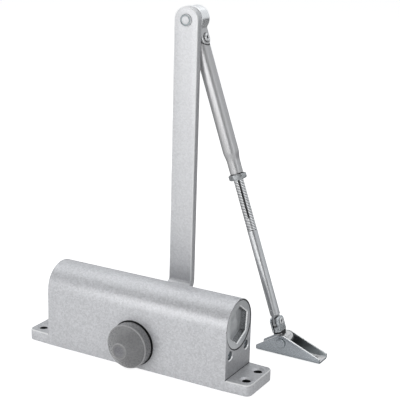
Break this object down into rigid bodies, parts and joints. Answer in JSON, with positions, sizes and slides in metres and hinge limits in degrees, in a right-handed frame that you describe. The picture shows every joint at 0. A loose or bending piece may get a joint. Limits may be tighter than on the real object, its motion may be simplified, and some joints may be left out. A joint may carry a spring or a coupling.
{
  "type": "door closer",
  "caption": "Surface-mounted rack and pinion door closer in silver paint, with a cranked main arm, an adjustable forearm, a pivoted shoe bracket and speed valves.",
  "frame": {"origin": "centre of the body's mounting base", "axes": "+X along the body towards the end with the speed valves, +Y towards the arms, +Z away from the mounting surface"},
  "size_m": [0.222, 0.118, 0.2711],
  "materials": {
    "housing_paint": "silver metallic paint",
    "arm_paint": "silver metallic paint",
    "plug_zinc": "zinc plated, satin",
    "zinc_steel": "zinc plated",
    "bright_steel": "ground",
    "spring_steel": "oiled",
    "grey_plastic": "satin",
    "black_rubber": "matt"
  },
  "bodies": {
    "housing_body": {"housing": "housing_paint", "end_plug_right": "plug_zinc", "end_plug_left": "plug_zinc", "plug_seal_right": "black_rubber", "plug_seal_left": "black_rubber", "cover_nut": "zinc_steel", "bearing_front": "bright_steel", "bearing_rear": "bright_steel", "shaft_seal_front": "black_rubber", "shaft_seal_rear": "black_rubber", "spindle_cap": "grey_plastic", "return_spring": "spring_steel"},
    "spindle_body": {"pinion_spindle": "bright_steel", "main_arm": "arm_paint", "arm_screw": "zinc_steel", "arm_washer": "zinc_steel", "elbow_rivet": "zinc_steel", "elbow_washer": "zinc_steel"},
    "piston_body": {"piston": "bright_steel", "piston_seal": "black_rubber", "check_valve_ball": "bright_steel", "check_valve_seat": "bright_steel"},
    "knuckle_body": {"elbow_knuckle": "arm_paint", "knuckle_screw": "zinc_steel"},
    "forearm_body": {"forearm_tube": "arm_paint"},
    "nut_body": {"jam_nut": "zinc_steel"},
    "rod_body": {"adjusting_rod": "zinc_steel"},
    "clevis_body": {"rod_clevis": "zinc_steel", "clevis_screw": "zinc_steel"},
    "shoe_body": {"shoe_bracket": "zinc_steel", "shoe_rivet": "zinc_steel"},
    "closing_valve_body": {"closing_valve": "zinc_steel", "closing_valve_seal": "black_rubber"},
    "latching_valve_body": {"latching_valve": "zinc_steel", "latching_valve_seal": "black_rubber"}
  },
  "joints": [
    {"name": "spindle_turn", "type": "hinge", "parent": "housing_body", "child": "spindle_body", "pos_m": [0, 0, 0.0202], "axis": [0, -1, 0], "range_deg": [0, 135], "stiffness_Nm_per_rad": 4, "springref_deg": -85.94},
    {"name": "piston_slide", "type": "slide", "parent": "housing_body", "child": "piston_body", "axis": [-1, 0, 0], "range_m": [0, 0.029], "deforming": ["return_spring"]},
    {"name": "elbow_turn", "type": "hinge", "parent": "spindle_body", "child": "knuckle_body", "pos_m": [0.0013, 0.0628, 0.2607], "axis": [0, 1, 0], "continuous": true},
    {"name": "knuckle_tilt", "type": "hinge", "parent": "knuckle_body", "child": "forearm_body", "pos_m": [0.00665, 0.0628, 0.24509], "axis": [0.946, 0, 0.3242], "range_deg": [-0.4, 8]},
    {"name": "rod_extend", "type": "slide", "parent": "forearm_body", "child": "rod_body", "axis": [0.3242, 0.01, -0.9459], "range_m": [-0.015, 0.025]},
    {"name": "jam_nut_turn", "type": "hinge", "parent": "forearm_body", "child": "nut_body", "pos_m": [0.04231, 0.0639, 0.14103], "axis": [0.3242, 0.01, -0.9459], "continuous": true},
    {"name": "clevis_tilt", "type": "hinge", "parent": "rod_body", "child": "clevis_body", "pos_m": [0.08149, 0.0651, 0.02672], "axis": [0.946, 0, 0.3242], "range_deg": [-4, 10]},
    {"name": "shoe_turn", "type": "hinge", "parent": "clevis_body", "child": "shoe_body", "pos_m": [0.0871, 0.06945, 0.01035], "axis": [0, 1, 0], "range_deg": [-52, 27]},
    {"name": "closing_valve_turn", "type": "hinge", "parent": "housing_body", "child": "closing_valve_body", "pos_m": [0.079, -0.01281, 0.02608], "axis": [1, 0, 0], "range_deg": [0, 720]},
    {"name": "latching_valve_turn", "type": "hinge", "parent": "housing_body", "child": "latching_valve_body", "pos_m": [0.079, 0.01281, 0.02608], "axis": [1, 0, 0], "range_deg": [0, 720]}
  ],
  "couplings": [
    {"joint": "piston_slide", "follows": "spindle_turn", "m_per_rad": 0.01225}
  ]
}
